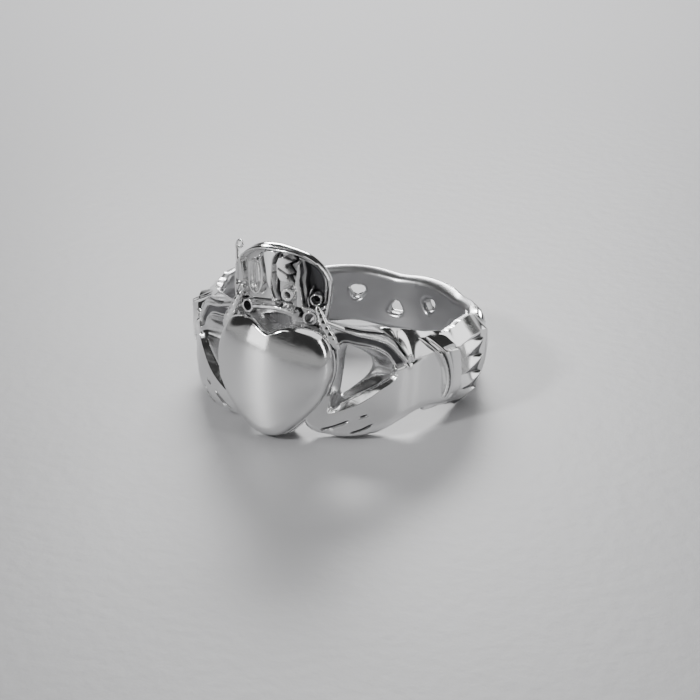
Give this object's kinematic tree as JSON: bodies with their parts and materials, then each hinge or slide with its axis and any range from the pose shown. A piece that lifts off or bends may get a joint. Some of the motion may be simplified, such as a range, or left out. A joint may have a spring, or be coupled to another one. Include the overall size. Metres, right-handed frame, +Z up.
{
  "type": "claddagh ring",
  "caption": "Cast silver claddagh ring: two cuffed hands hold a domed heart under an arched crown, on a band with pleated cuffs and a pierced plaited back.",
  "frame": {"origin": "on the axis of the finger hole, at the middle of the band's height", "axes": "+Z up as the ring lies on its side, with the crown up; the heart faces -Y; the finger hole's axis leans back from +Z towards +Y by 6.3 degrees, as the ring rests by itself"},
  "size_m": [0.024, 0.0245, 0.0146],
  "materials": {
    "polished_silver": "polished cast silver with fine scratches, slightly darkened in the recesses"
  },
  "bodies": {
    "root": {"ring": "polished_silver"}
  },
  "joints": []
}
